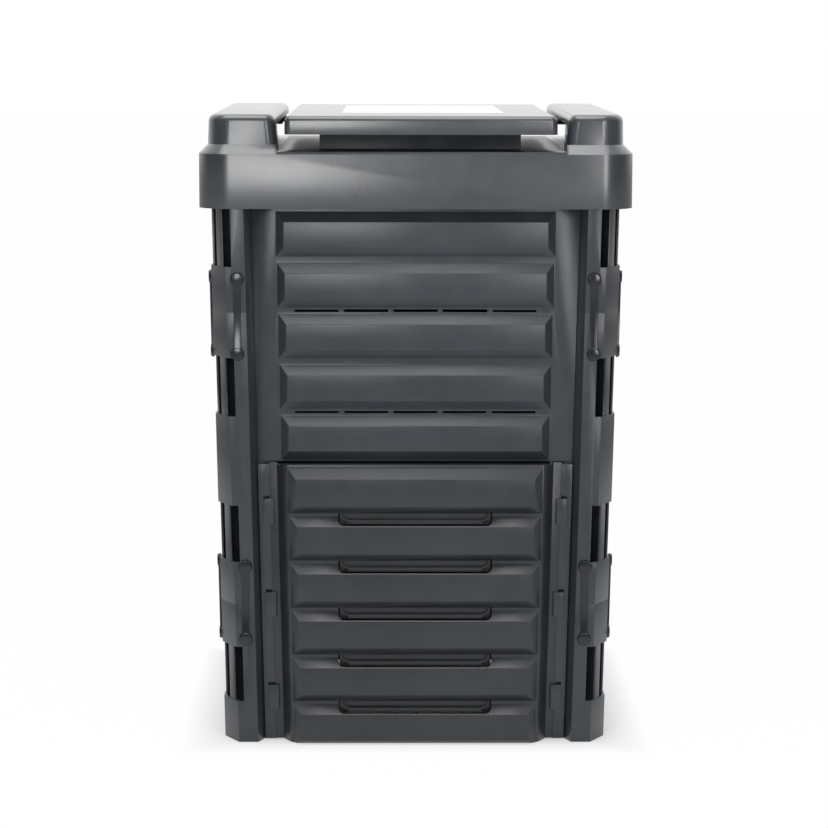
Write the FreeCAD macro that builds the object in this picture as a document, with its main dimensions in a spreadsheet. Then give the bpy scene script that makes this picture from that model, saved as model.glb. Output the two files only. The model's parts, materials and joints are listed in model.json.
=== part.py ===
import FreeCAD, Part
import math
import os
import Sketcher

# An upright compost bin of moulded panels: two side walls in three tiers each, which wrap
# round the corners, a front and a back that sit between them, a hatch door that slides up
# in the lower front, and a lid with a hinged flap. Millimetres, +Z up, the front faces -Y,
# and the origin is on the ground under the middle of the bin.

doc = FreeCAD.newDocument("compost_bin")
sheet = doc.addObject("Spreadsheet::Sheet", "sizes")


class Size:
    """A length in mm together with the formula that the sheet works it out from."""

    def __init__(self, number, formula):
        self.number = number
        self.formula = formula

    def __add__(self, other):
        other = as_size(other)
        return Size(self.number + other.number, f"({self.formula} + {other.formula})")

    def __sub__(self, other):
        other = as_size(other)
        return Size(self.number - other.number, f"({self.formula} - {other.formula})")

    def __mul__(self, other):
        other = as_size(other)
        return Size(self.number * other.number, f"({self.formula} * {other.formula})")

    def __truediv__(self, other):
        other = as_size(other)
        return Size(self.number / other.number, f"({self.formula} / {other.formula})")

    def __neg__(self):
        return Size(-self.number, f"(0 - {self.formula})")

    def __radd__(self, other):
        return as_size(other) + self

    def __rsub__(self, other):
        return as_size(other) - self

    def __rmul__(self, other):
        return as_size(other) * self


def as_size(value):
    return value if isinstance(value, Size) else Size(float(value), f"({float(value)})")


def root(value):
    return Size(math.sqrt(value.number), f"sqrt({value.formula})")


def size(name, number, meaning):
    """A driving dimension: one row of the sheet, whose number is read back from its cell."""
    size.row += 1
    cell = f"B{size.row}"
    sheet.set(f"A{size.row}", meaning)
    sheet.set(cell, str(number))
    sheet.setAlias(cell, name)
    return Size(float(sheet.getContents(cell)), f"sizes.{name}")


size.row = 0

foot_half = size("foot_half", 275, "half the outer width of the body at the ground")
flare = size("flare", 17.5, "how far each side leans out by the top of the body")
half_tier = size("half_tier", 206, "height of a half tier of wall")
panel_wall = size("panel_wall", 3, "thickness of the moulded panels")

chamfer_along = size("chamfer_along", 38, "corner chamfer, measured along the side wall")
chamfer_deep = size("chamfer_deep", 22, "corner chamfer, measured along the front")
flange_width = size("flange_width", 25, "flat flange beside the chamfer")
slope_run = size("slope_run", 12, "width of the slope from the flange into the recess")
recess = size("recess", 24, "depth of the panels behind the flanges")
foot_gap = size("foot_gap", 0.5, "front and back panels end this far above the ground")
ledge = size("ledge", 13, "ledge of the side wall behind the front and back panels")
block_proud = size("block_proud", 2.5, "how far the joint blocks stand out at the corners")

slot_width = size("slot_width", 13, "corner slot seen from the front")
slot_start = size("slot_start", 17, "corner slot, distance in from the side")
side_slot_start = size("side_slot_start", 26, "side slot, distance back from the front")
side_slot_width = size("side_slot_width", 20, "side slot seen from the side")
slot_depth = size("slot_depth", 13, "how far each slot cut reaches into the corner")
slot_reach = size("slot_reach", 3, "how far each slot cut starts outside the corner")
low_slot_foot = size("low_slot_foot", 62, "foot of the lowest corner slots")
low_slot_drop = size("low_slot_drop", 63, "head of the lowest slots under the low seam")
second_slot_rise = size("second_slot_rise", 62, "foot of the second slots above the low seam")
second_slot_drop = size("second_slot_drop", 60, "head of the second slots under mid height")
third_slot_rise = size("third_slot_rise", 65.5, "foot of the third slots above mid height")
third_slot_drop = size("third_slot_drop", 55, "head of the third slots under the high seam")
top_slot_rise = size("top_slot_rise", 74, "foot of the top slots above the high seam")
top_slot_drop = size("top_slot_drop", 24, "head of the top slots under the top of the body")

rib_height = size("rib_height", 13, "how far a rib stands out of its panel")
rib_face = size("rib_face", 38, "flat face of a panel rib")
rib_bevel = size("rib_bevel", 12.25, "bevel above and below a rib face")
rib_end_bevel = size("rib_end_bevel", 11, "bevel at the ends of a rib")
rib_pitch = size("rib_pitch", 72, "spacing of the ribs of a full panel")
rib_first = size("rib_first", 2.5, "foot of the lowest rib above its panel's foot")
rib_end_inset = size("rib_end_inset", 92.5, "ends of the ribs, in from the outer width")
side_valley = size("side_valley", 5.5, "flat between two ribs of a side wall")
side_rib_inset = size("side_rib_inset", 100, "ends of the side ribs, in from the outer width")
hollow_over = size("hollow_over", 1, "how far the cut of a hollow starts behind its panel")
slit_height = size("slit_height", 5, "height of a vent slit")
slit_length = size("slit_length", 62, "length of a vent slit")
slit_pitch = size("slit_pitch", 70, "spacing of the vent slits")

strip_height = size("strip_height", 4, "door guide strip, in front of the panel")
strip_width = size("strip_width", 16, "width of a door guide strip")
frame_side = size("frame_side", 110, "door opening, in from the outer width")
frame_foot = size("frame_foot", 22, "sill under the door opening")
frame_drop = size("frame_drop", 20, "top of the door opening under mid height")
lintel_drop = size("lintel_drop", 1, "top of the lintel under mid height")
lintel_depth = size("lintel_depth", 14, "height of the lintel")
lintel_height = size("lintel_height", 13.5, "how far the lintel stands out")
lintel_gap = size("lintel_gap", 15, "ends of the lintel, in from the sides of the door")
tab_width = size("tab_width", 15, "width of a door guide tab")
tab_height = size("tab_height", 36.5, "height of a door guide tab")
tab_thickness = size("tab_thickness", 4, "thickness of a door guide tab")
tab_inset = size("tab_inset", 65, "outer edge of a tab, in from the outer width")
tab_low = size("tab_low", 65, "middle of the lowest tabs")
tab_pitch = size("tab_pitch", 136.5, "spacing of the tabs")
tab_gap = size("tab_gap", 4, "core hole above a tab")
slide_gap = size("slide_gap", 0.3, "running gap round the door flange")
side_gap = size("side_gap", 0.5, "gap at the edges of the door flange")

door_foot = size("door_foot", 1, "foot of the door above the ground")
door_drop = size("door_drop", 1, "top of the door under mid height")
door_inset = size("door_inset", 86, "sides of the door, in from the outer width")
door_side_run = size("door_side_run", 14, "how far the door sides lean in")
door_valley = size("door_valley", 27, "front of the door between its ribs")
door_round = size("door_round", 12, "rounding of the upright door edges")
door_wall = size("door_wall", 2.5, "wall of the door")
door_rib_inset = size("door_rib_inset", 106, "ends of the door ribs, in from the outer width")
door_rib_valley = size("door_rib_valley", 4.1, "flat between two door ribs")
door_rib_drop = size("door_rib_drop", 7.5, "highest door rib under the top of the door")
door_rib_bevel = size("door_rib_bevel", 13.2, "bevel above and below a door rib face")
grip_half = size("grip_half", 106, "half the length of a vent grip in the door")
grip_height = size("grip_height", 20, "height of a vent grip")
grip_round = size("grip_round", 8, "rounded lower corners of a vent grip")
grip_drop = size("grip_drop", 60.5, "top of a vent grip under the top of its rib")

clip_inset = size("clip_inset", 37, "middle of a joint clip, in from the outer width")
clip_radius = size("clip_radius", 10, "radius of a clip head")
clip_top_radius = size("clip_top_radius", 8.6, "radius of the face of a clip head")
clip_reach = size("clip_reach", 53, "distance of a clip head from the seam")
clip_stem = size("clip_stem", 10, "width of a clip stem")
clip_height = size("clip_height", 4.5, "how far a clip head stands out")
clip_stem_height = size("clip_stem_height", 3.5, "how far a clip stem stands out")

lid_overhang = size("lid_overhang", 12.5, "how far the lid stands out past the top of the body")
lid_round = size("lid_round", 45, "corner radius of the lid")
lid_cover = size("lid_cover", 54, "how far the lid reaches down over the body")
skirt_height = size("skirt_height", 75, "height of the lid skirt")
lid_wall = size("lid_wall", 3.5, "wall of the lid")
deck_height = size("deck_height", 4, "deck above the rim")
deck_inset = size("deck_inset", 8, "deck set in from the front and back of the skirt")
shoulder = size("shoulder", 13, "shoulder between the skirt and a tower")
shoulder_edge = size("shoulder_edge", 1, "upright edge under the slope of a shoulder")
tower_ledge = size("tower_ledge", 0.5, "ledge of the shoulder round the foot of a tower")
tower_height = size("tower_height", 56, "height of the towers above the rim")
tower_width = size("tower_width", 89.75, "width of a tower, with the bay in the middle")
tower_draft = size("tower_draft", 6, "draft of the bay side of a tower in degrees")
outer_draft = size("outer_draft", 1, "draft of the other sides of a tower in degrees")
tower_roof = size("tower_roof", 6, "roof of a tower")
tower_round = size("tower_round", 10, "rounded top edges of a tower")
tower_inner_round = size("tower_inner_round", 16, "upright edges of a tower beside the bay")
bay_offset = size("bay_offset", 8.25, "bay shifted to the right of the middle")
notch_start = size("notch_start", 60, "front of the hinge notch behind the front of a tower")
notch_depth = size("notch_depth", 34, "depth of the hinge notch in a tower")
notch_above = size("notch_above", 10, "head of the hinge notch above the hinge axis")

flap_gap = size("flap_gap", 11.65, "gap between the flap and the foot of a tower")
flap_offset = size("flap_offset", 6.9, "flap shifted to the right of the middle")
flap_setback = size("flap_setback", 8, "flap set in from the front and back of the lid")
flap_rise = size("flap_rise", 54, "top of the flap above the rim")
flap_depth = size("flap_depth", 26, "height of the flap")
flap_wall = size("flap_wall", 3, "wall of the flap")
flap_round = size("flap_round", 9, "rounded edges of the flap")
mouth_side = size("mouth_side", 50, "mouth collar set in from the flap's sides")
mouth_front = size("mouth_front", 110, "mouth collar set in from the flap's ends")
collar_gap = size("collar_gap", 0.3, "gap between the collar and the flap")

pin_radius = size("pin_radius", 5, "radius of a hinge pin")
pin_gap = size("pin_gap", 0.1, "running gap round a hinge pin")
boss_radius = size("boss_radius", 8.5, "radius of a hinge boss")
boss_length = size("boss_length", 21, "length of a hinge boss")
pin_setback = size("pin_setback", 16, "hinge axis in from the back of the flap")
pin_drop = size("pin_drop", 23, "hinge axis under the top of the flap")
pin_inside = size("pin_inside", 8, "how far a hinge pin reaches into the flap")

label_wide = size("label_wide", 232, "width of the blank label")
label_long = size("label_long", 398, "length of the blank label")
label_shift_x = size("label_shift_x", 11, "label to the right of the middle")
label_shift_y = size("label_shift_y", 35, "label behind the middle")
label_thickness = size("label_thickness", 0.3, "thickness of the label")
seat_rib = size("seat_rib", 4, "thickness of a seat rib under the lid")
seat_reach = size("seat_reach", 42, "how far a seat rib reaches in")

panel_ribs = 5
side_ribs = 3
door_ribs = 6
door_grips = 5
tabs_each_side = 3
slits_each_way = 2
low_slit_row = 1
high_slit_row = 3

body_height = 4 * half_tier
lean = flare / body_height
lean_formula = f"atan({lean.formula})"
lean_degrees = math.degrees(math.atan(lean.number))
seam_low = half_tier
seam_middle = 2 * half_tier
seam_high = 3 * half_tier
slot_spans = {
    "lower": [(low_slot_foot, seam_low - low_slot_drop)],
    "middle": [(seam_low + second_slot_rise, seam_middle - second_slot_drop),
               (seam_middle + third_slot_rise, seam_high - third_slot_drop)],
    "upper": [(seam_high + top_slot_rise, body_height - top_slot_drop)],
}
side_rib_pitch = half_tier / side_ribs
side_rib_face = side_rib_pitch - 2 * rib_bevel - side_valley
frame_head = seam_middle - frame_drop
lintel_head = seam_middle - lintel_drop
lintel_foot = lintel_head - lintel_depth
door_head = seam_middle - door_drop
door_rib_top = door_head - door_rib_drop
door_rib_pitch = door_head / door_ribs
door_rib_face = door_rib_pitch - 2 * door_rib_bevel - door_rib_valley
flange_edge = chamfer_deep + flange_width
strip_edge = flange_edge + slope_run
ORIGIN_PLANES = {"XY": "XY_Plane", "XZ": "XZ_Plane"}


def half_width(height):
    """Half the outer width of the body at a height above the ground."""
    return foot_half + lean * height


def bind(thing, prop, value):
    thing.setExpression(prop, as_size(value).formula)


def new_body(name):
    return doc.addObject("PartDesign::Body", name)


def own_plane(body, which):
    return next(f for f in body.Origin.OriginFeatures if f.Role == ORIGIN_PLANES[which])


def outline(body, name, which, corners, offset):
    """A closed sketch through the corners, on one of the body's own planes."""
    sketch = body.newObject("Sketcher::SketchObject", name)
    sketch.AttachmentSupport = [(own_plane(body, which), "")]
    sketch.MapMode = "FlatFace"
    bind(sketch, "AttachmentOffset.Base.z", offset)
    points = [FreeCAD.Vector(as_size(x).number, as_size(y).number, 0) for x, y in corners]
    count = len(points)
    for i in range(count):
        sketch.addGeometry(Part.LineSegment(points[i], points[(i + 1) % count]))
    for i in range(count):
        sketch.addConstraint(Sketcher.Constraint("Coincident", i, 2, (i + 1) % count, 1))
    for i, (x, y) in enumerate(corners):
        across = sketch.addConstraint(Sketcher.Constraint("DistanceX", -1, 1, i, 1, points[i].x))
        bind(sketch, f"Constraints[{across}]", x)
        up = sketch.addConstraint(Sketcher.Constraint("DistanceY", -1, 1, i, 1, points[i].y))
        bind(sketch, f"Constraints[{up}]", y)
    return sketch


def leaning_block(name, corners_at, low, high):
    """A solid with flat sides between the plan of the corners at two heights."""
    rings = []
    for height in (as_size(low), as_size(high)):
        corners = corners_at(height)
        rings.append([FreeCAD.Vector(as_size(x).number, as_size(y).number, height.number)
                      for x, y in corners])
    turn = sum(a.cross(b).z for a, b in zip(rings[0], rings[0][1:] + rings[0][:1]))
    if turn > 0:
        rings = [ring[::-1] for ring in rings]
    foot, head = rings
    count = len(foot)
    faces = [Part.Face(Part.makePolygon(ring + ring[:1])) for ring in rings]
    for i in range(count):
        j = (i + 1) % count
        faces.append(Part.Face(Part.makePolygon([foot[i], foot[j], head[j], head[i], foot[i]])))
    skin = Part.Compound(faces)
    skin.sewShape()
    block = doc.addObject("Part::Feature", name)
    block.Shape = Part.Solid(skin.Shells[0])
    return block


def trimmed(kind, name, base, reach, chosen):
    """Rounds or bevels the edges of a block for which the test says yes."""
    doc.recompute()
    edges = [i + 1 for i, edge in enumerate(base.Shape.Edges) if chosen(edge)]
    feature = doc.addObject(kind, name)
    feature.Base = base
    feature.Edges = [(i, reach.number, reach.number) for i in edges]
    return feature


def rounded(name, base, radius, chosen):
    return trimmed("Part::Fillet", name, base, radius, chosen)


def bevelled(name, base, width, chosen):
    return trimmed("Part::Chamfer", name, base, width, chosen)


def pad(body, name, which, corners, offset, length):
    """A flat plate: an outline padded along its plane's own direction."""
    sketch = outline(body, name + "_outline", which, corners, offset)
    feature = body.newObject("PartDesign::Pad", name)
    feature.Profile = sketch
    bind(feature, "Length", length)
    return feature


def fillet(body, base, radius, chosen):
    """Rounds the edges of the body so far for which the test says yes."""
    doc.recompute()
    names = [f"Edge{i + 1}" for i, edge in enumerate(base.Shape.Edges) if chosen(edge)]
    feature = body.newObject("PartDesign::Fillet", base.Name + "_round")
    feature.Base = (base, names)
    bind(feature, "Radius", radius)
    body.Tip = feature
    return feature


def upright(edge):
    low, high = edge.BoundBox.ZMin, edge.BoundBox.ZMax
    return high - low > 0.9 * edge.Length


def rectangle(x0, x1, y0, y1):
    return [(x0, y0), (x1, y0), (x1, y1), (x0, y1)]


def box(name, x0, x1, y0, y1, z0, z1):
    thing = doc.addObject("Part::Box", name)
    bind(thing, "Length", as_size(x1) - x0)
    bind(thing, "Width", as_size(y1) - y0)
    bind(thing, "Height", as_size(z1) - z0)
    bind(thing, "Placement.Base.x", x0)
    bind(thing, "Placement.Base.y", y0)
    bind(thing, "Placement.Base.z", z0)
    return thing


def panel_box(name, x0, x1, level0, level1, z0, z1):
    """A box on a panel, whose levels count outwards from the panel's front."""
    return box(name, x0, x1, -as_size(level1), -as_size(level0), z0, z1)


def rib(name, end_half, foot, face, bevel, level, wall=None):
    """A rib with bevelled sides on a panel, or the hollow that leaves it a wall."""
    wedge = doc.addObject("Part::Wedge", name)
    head = foot + face + 2 * bevel
    shift = wall or as_size(0)
    over = hollow_over if wall else as_size(0)
    end_over = over * rib_end_bevel / rib_height
    side_over = over * bevel / rib_height
    bind(wedge, "Ymin", shift - level - rib_height)
    bind(wedge, "Ymax", shift - level + over)
    bind(wedge, "Xmin", rib_end_bevel - end_half)
    bind(wedge, "Xmax", end_half - rib_end_bevel)
    bind(wedge, "Zmin", foot + bevel)
    bind(wedge, "Zmax", head - bevel)
    bind(wedge, "X2min", -end_half - end_over)
    bind(wedge, "X2max", end_half + end_over)
    bind(wedge, "Z2min", foot - side_over)
    bind(wedge, "Z2max", head + side_over)
    return wedge


def fused(name, things):
    union = doc.addObject("Part::MultiFuse", name)
    union.Shapes = things
    return union


def cut(name, base, tools):
    """The base less the tools."""
    result = doc.addObject("Part::Cut", name)
    result.Base = base
    result.Tool = tools[0] if len(tools) == 1 else fused(name + "_cuts", tools)
    return result


def leaned(thing):
    """Leans a front panel, drawn upright with its front at Y = 0, into its place."""
    thing.Placement = FreeCAD.Placement(
        FreeCAD.Vector(0, recess.number - foot_half.number, 0),
        FreeCAD.Rotation(FreeCAD.Vector(1, 0, 0), lean_degrees))
    bind(thing, "Placement.Base.y", recess - foot_half)
    thing.setExpression("Placement.Rotation.Angle", lean_formula)
    return thing


def turned(name, thing, degrees):
    """The thing turned about the bin's upright axis."""
    copy = doc.addObject("Part::Compound", name)
    copy.Links = [thing]
    copy.Placement = FreeCAD.Placement(
        FreeCAD.Vector(), FreeCAD.Rotation(FreeCAD.Vector(0, 0, 1), degrees))
    return copy


# Side walls. Each is drawn as if it faced the front, then turned to its side. A corner is
# plotted as (distance in from the end of the wall, distance in from its outer face).

def half_turn(adjacent, opposite):
    """Tangent of half the angle of a slope: what a wall's inner corner shifts by."""
    return (root(adjacent * adjacent + opposite * opposite) - adjacent) / opposite


slope_shift = panel_wall * half_turn(slope_run, recess)
flange_shift = panel_wall * half_turn(chamfer_deep, chamfer_along)
side_shift = panel_wall * half_turn(chamfer_along, chamfer_deep)
side_flange_edge = chamfer_along + flange_width
side_strip_edge = side_flange_edge + slope_run
step = block_proud
panel_back = recess + panel_wall


def wall_corner_outer():
    return [
        (panel_back, strip_edge + ledge),
        (panel_back, strip_edge),
        (recess, strip_edge),
        (as_size(0), flange_edge),
        (as_size(0), chamfer_deep + step),
        (chamfer_along, step),
        (side_flange_edge + step * slope_run / recess, step),
        (side_strip_edge, recess),
    ]


def wall_corner_inner():
    inner_slope = flange_edge - slope_shift + panel_back * slope_run / recess
    return [
        (side_strip_edge - slope_shift, panel_back),
        (side_flange_edge + step * slope_run / recess - slope_shift, step + panel_wall),
        (chamfer_along + side_shift, step + panel_wall),
        (panel_wall, chamfer_deep + step + flange_shift),
        (panel_wall, flange_edge - slope_shift),
        (panel_back + panel_wall, inner_slope),
        (panel_back + panel_wall, strip_edge + ledge),
    ]


def placed(points, end, height):
    """Corner points set at one end of the wall, at a height on the leaning body."""
    half = half_width(height)
    return [(end * (half - along), deep - half) for along, deep in points]


def wall_section(height):
    outer = placed(wall_corner_outer(), -1, height)
    outer += list(reversed(placed(wall_corner_outer(), 1, height)))
    inner = list(reversed(placed(wall_corner_inner(), 1, height)))
    inner += placed(wall_corner_inner(), -1, height)
    return outer + inner


block_plan = [
    (as_size(0), chamfer_deep + step),
    (as_size(0), chamfer_deep),
    (chamfer_along, as_size(0)),
    (side_flange_edge, as_size(0)),
    (side_flange_edge + step * slope_run / recess, step),
    (chamfer_along, step),
]
end_slot_plan = rectangle(-slot_reach, slot_depth + slot_reach, slot_start, slot_start + slot_width)
side_slot_plan = rectangle(side_slot_start, side_slot_start + side_slot_width,
                           -slot_reach, slot_depth)


def wall_tier(name, low, high, blocks, slots, ribs):
    """One tier of a side wall, facing the front."""
    solids = [leaning_block(name + "_wall", wall_section, low, high)]
    cuts = []
    for end in (-1, 1):
        side = "a" if end < 0 else "b"
        for i, (foot, head) in enumerate(blocks):
            solids.append(leaning_block(
                f"{name}_block_{side}{i}",
                lambda height, end=end: placed(block_plan, end, height), foot, head))
        for i, (foot, head) in enumerate(slots):
            for plan, word in ((end_slot_plan, "end"), (side_slot_plan, "side")):
                cuts.append(leaning_block(
                    f"{name}_{word}_slot_{side}{i}",
                    lambda height, end=end, plan=plan: placed(plan, end, height), foot, head))
    rib_things = []
    hollow_things = []
    for i in range(ribs):
        foot = low + rib_first + side_rib_pitch * i
        end_half = half_width(low) - side_rib_inset
        shape = (end_half, foot, side_rib_face, rib_bevel, as_size(0))
        rib_things.append(rib(f"{name}_rib_{i}", *shape))
        hollow_things.append(rib(f"{name}_hollow_{i}", *shape, panel_wall))
    all_ribs = leaned(fused(name + "_ribs", rib_things))
    hollows = leaned(fused(name + "_hollows", hollow_things))
    whole = fused(name + "_solid", solids + [all_ribs])
    return cut(name + "_facing", whole, cuts + [hollows])


zero = as_size(0)
def between(spans, low, high):
    """What the slots leave of a tier: the joint blocks at its corners."""
    levels = [low]
    for foot, head in spans:
        levels += [foot, head]
    levels.append(high)
    return list(zip(levels[::2], levels[1::2]))


tier_plans = {"lower": (zero, seam_low, side_ribs), "middle": (seam_low, seam_high, 2 * side_ribs),
              "upper": (seam_high, body_height, side_ribs)}
parts = {}
for tier, (low, high, ribs) in tier_plans.items():
    slots = slot_spans[tier]
    blocks = between(slots, low, high)
    if tier == "upper":
        blocks = blocks[:1]
    facing = wall_tier(f"wall_{tier}", low, high, blocks, slots, ribs)
    parts[f"left_wall_{tier}"] = turned(f"left_wall_{tier}", facing, -90)
    parts[f"right_wall_{tier}"] = turned(f"right_wall_{tier}", facing, 90)


# Front and back panels. They are drawn upright with their front at Y = 0, then leaned.

def panel_plate(body, name, low, high):
    """The flat of a panel between the side walls, from its foot to its head."""
    foot_end = half_width(low) - strip_edge
    head_end = half_width(high) - strip_edge
    corners = [(-foot_end, low), (foot_end, low), (head_end, high), (-head_end, high)]
    return pad(body, name + "_plate", "XZ", corners, -panel_wall, panel_wall)


def ribbed_panel(name, low, foot_of_plate, slit_rows):
    """A full panel with its ribs, and vent slits in the valleys under the given ribs."""
    body = new_body(name + "_flat")
    panel_plate(body, name, foot_of_plate, low + 2 * half_tier)
    solids = [body]
    hollows = []
    for i in range(panel_ribs):
        foot = low + rib_first + rib_pitch * i
        end_half = half_width(foot) - rib_end_inset
        shape = (end_half, foot, rib_face, rib_bevel, zero)
        solids.append(rib(f"{name}_rib_{i}", *shape))
        hollows.append(rib(f"{name}_hollow_{i}", *shape, panel_wall))
    for row in slit_rows:
        valley = low + rib_first + rib_pitch * row - (rib_pitch - rib_face - 2 * rib_bevel) / 2
        for i in range(-slits_each_way, slits_each_way + 1):
            middle = slit_pitch * i
            hollows.append(panel_box(
                f"{name}_slit_{row}_{i + slits_each_way}",
                middle - slit_length / 2, middle + slit_length / 2, -2 * panel_wall, panel_wall,
                valley - slit_height / 2, valley + slit_height / 2))
    return leaned(cut(name, fused(name + "_solid", solids), hollows))


slit_rows = (low_slit_row, high_slit_row)
upper_facing = ribbed_panel("front_upper_panel", seam_middle, seam_middle, slit_rows)
back_lower_facing = ribbed_panel("lower_panel_facing", zero, foot_gap, (high_slit_row,))
parts["front_upper_panel"] = upper_facing
parts["back_upper_panel"] = turned("back_upper_panel", upper_facing, 180)
parts["back_lower_panel"] = turned("back_lower_panel", back_lower_facing, 180)


def sloped_strip(body, name, end, inner, outer, low, high, level, thickness):
    """An upright strip that follows the leaning sides of the body."""
    corners = []
    for height, inset in ((low, inner), (low, outer), (high, outer), (high, inner)):
        corners.append((end * (half_width(height) - inset), height))
    return pad(body, name, "XZ", corners, level, thickness)


def front_door_frame():
    """The lower front: a ring round the door opening, with guide strips, tabs and lintel."""
    name = "front_door_frame"
    body = new_body(name + "_flat")
    panel_plate(body, name, foot_gap, seam_middle)
    solids = [body]
    cuts = []
    opening = new_body(name + "_opening")
    foot_end = half_width(frame_foot) - frame_side
    head_end = half_width(frame_head) - frame_side
    pad(opening, name + "_hole", "XZ",
        [(-foot_end, frame_foot), (foot_end, frame_foot), (head_end, frame_head),
         (-head_end, frame_head)], -2 * panel_wall, 3 * panel_wall)
    cuts.append(opening)
    for end in (-1, 1):
        side = "left" if end < 0 else "right"
        strip = new_body(f"{name}_{side}")
        sloped_strip(strip, f"{name}_strip_{side}", end, strip_edge + strip_width, strip_edge,
                     foot_gap, seam_middle, zero, strip_height)
        solids.append(strip)
        for i in range(tabs_each_side):
            middle = tab_low + tab_pitch * i
            outer = half_width(middle) - tab_inset
            low_x, high_x = (outer - tab_width, outer) if end > 0 else (-outer, tab_width - outer)
            back = panel_wall + 2 * slide_gap
            solids.append(panel_box(f"{name}_tab_{side}_{i}", low_x, high_x,
                                    back, back + tab_thickness,
                                    middle - tab_height / 2, middle + tab_height / 2))
            cuts.append(panel_box(f"{name}_core_{side}_{i}", low_x, high_x,
                                  -2 * panel_wall, back + tab_thickness,
                                  middle + tab_height / 2, middle + tab_height / 2 + tab_gap))
    lintel_half = half_width(zero) - door_inset - lintel_gap + lean * lintel_foot
    solids.append(panel_box(name + "_lintel", -lintel_half, lintel_half, zero, lintel_height,
                            lintel_foot, lintel_head))
    return leaned(cut(name, fused(name + "_solid", solids), cuts))


parts["front_door_frame"] = front_door_frame()


# The door: a hollow moulding whose flanges run behind the tabs, with six ribs and a vent
# grip in each valley. Its back is open, so it passes in front of the ribs above it.

def door_section(height):
    """Plan of the outside of the door at a height."""
    half = half_width(height) - door_inset
    front_half = half - door_side_run
    return [
        (-half, -slide_gap), (-front_half, -door_valley), (front_half, -door_valley),
        (half, -slide_gap),
    ]


def door_core_section(height):
    """Plan of the hollow, whose sides go on past the panel's front at the same slope."""
    half = half_width(height) - door_inset - door_wall
    front_half = half - door_side_run
    back_half = half + door_side_run * panel_wall / (door_valley - door_wall)
    front = door_wall - door_valley
    return [(-back_half, panel_wall), (-front_half, front), (front_half, front),
            (back_half, panel_wall)]


def front_door():
    name = "front_door"
    base = leaning_block(name + "_box", door_section, door_foot, door_head)

    def front_upright(edge):
        return upright(edge) and edge.BoundBox.YMax < -door_valley.number / 2

    outer = rounded(name + "_outer", base, door_round, front_upright)
    core = leaning_block(name + "_core", door_core_section,
                         door_foot + door_wall, door_head - door_wall)
    inner = rounded(name + "_inner", core, door_round - door_wall, front_upright)
    solids = [outer]
    hollows = [inner]
    for i in range(door_ribs):
        foot = door_rib_top - door_rib_pitch * i - door_rib_face - 2 * door_rib_bevel
        end_half = half_width(foot) - door_rib_inset
        shape = (end_half, foot, door_rib_face, door_rib_bevel, door_valley)
        solids.append(rib(f"{name}_rib_{i}", *shape))
        hollows.append(rib(f"{name}_hollow_{i}", *shape, door_wall))
    for i in range(door_grips):
        head = door_rib_top - door_rib_pitch * i - grip_drop
        grip = new_body(f"{name}_grip_{i}")
        plate = pad(grip, f"{name}_grip_cut_{i}", "XZ",
                    rectangle(-grip_half, grip_half, head - grip_height, head),
                    door_valley - 2 * door_wall, rib_height + 3 * door_wall)

        def lower_corner(edge, head=head):
            across = edge.BoundBox.YMax - edge.BoundBox.YMin > 0.9 * edge.Length
            return across and edge.BoundBox.ZMax < head.number - 1

        fillet(grip, plate, grip_round, lower_corner)
        hollows.append(grip)
    # The lowest rib is trimmed level with the foot of the door.
    hollows.append(panel_box(name + "_trim", -foot_half, foot_half, -panel_wall, door_valley * 2,
                             -door_valley, door_foot))
    # The top is open at the back, so that the door clears the lintel and the ribs above.
    top_half = half_width(door_head) - door_inset - door_wall
    hollows.append(panel_box(name + "_top_slot", -top_half, top_half, -panel_wall,
                             lintel_height + side_gap, door_head - 2 * door_wall, door_head + door_wall))
    shell = cut(name + "_shell", fused(name + "_solid", solids), hollows)
    flanges = []
    for end in (-1, 1):
        side = "left" if end < 0 else "right"
        flange = new_body(f"{name}_flange_{side}_body")
        sloped_strip(flange, f"{name}_flange_{side}", end, door_inset + door_wall,
                     strip_edge + strip_width + side_gap, door_foot, door_head, slide_gap, panel_wall)
        flanges.append(flange)
    return leaned(fused(name, [shell] + flanges))


parts["front_door"] = front_door()


# Joint clips: a dog bone across each seam, standing on the corner flanges.

def clip_pair(name, end, inset):
    """The two clips of one flange, as if it faced the front, set in from the end of its wall."""
    clips = []
    for seam, word in ((seam_low, "low"), (seam_high, "high")):
        middle = end * (half_width(seam) - inset)
        pieces = []
        for side, letter in ((-1, "a"), (1, "b")):
            head = doc.addObject("Part::Cone", f"{name}_{word}_head_{letter}")
            bind(head, "Radius1", clip_radius)
            bind(head, "Radius2", clip_top_radius)
            bind(head, "Height", clip_height)
            head.Placement = FreeCAD.Placement(
                FreeCAD.Vector(), FreeCAD.Rotation(FreeCAD.Vector(1, 0, 0), 90))
            bind(head, "Placement.Base.x", middle)
            bind(head, "Placement.Base.y", -recess)
            bind(head, "Placement.Base.z", seam + side * clip_reach)
            pieces.append(head)
        pieces.append(panel_box(
            f"{name}_{word}_stem", middle - clip_stem / 2, middle + clip_stem / 2,
            recess, recess + clip_stem_height, seam - clip_reach, seam + clip_reach))
        clips.append(fused(f"{name}_{word}", pieces))
    pair = doc.addObject("Part::Compound", name)
    pair.Links = clips
    return leaned(pair)


side_clip_inset = chamfer_along + flange_width / 2
left_clips = clip_pair("front_left_clips", -1, clip_inset)
right_clips = clip_pair("front_right_clips", 1, clip_inset)
parts["front_left_clips"] = left_clips
parts["front_right_clips"] = right_clips
parts["back_right_clips"] = turned("back_right_clips", left_clips, 180)
parts["back_left_clips"] = turned("back_left_clips", right_clips, 180)
side_a = clip_pair("side_clips_a", -1, side_clip_inset)
side_b = clip_pair("side_clips_b", 1, side_clip_inset)
parts["left_back_clips"] = turned("left_back_clips", side_a, -90)
parts["left_front_clips"] = turned("left_front_clips", side_b, -90)
parts["right_front_clips"] = turned("right_front_clips", side_a, 90)
parts["right_back_clips"] = turned("right_back_clips", side_b, 90)


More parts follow.
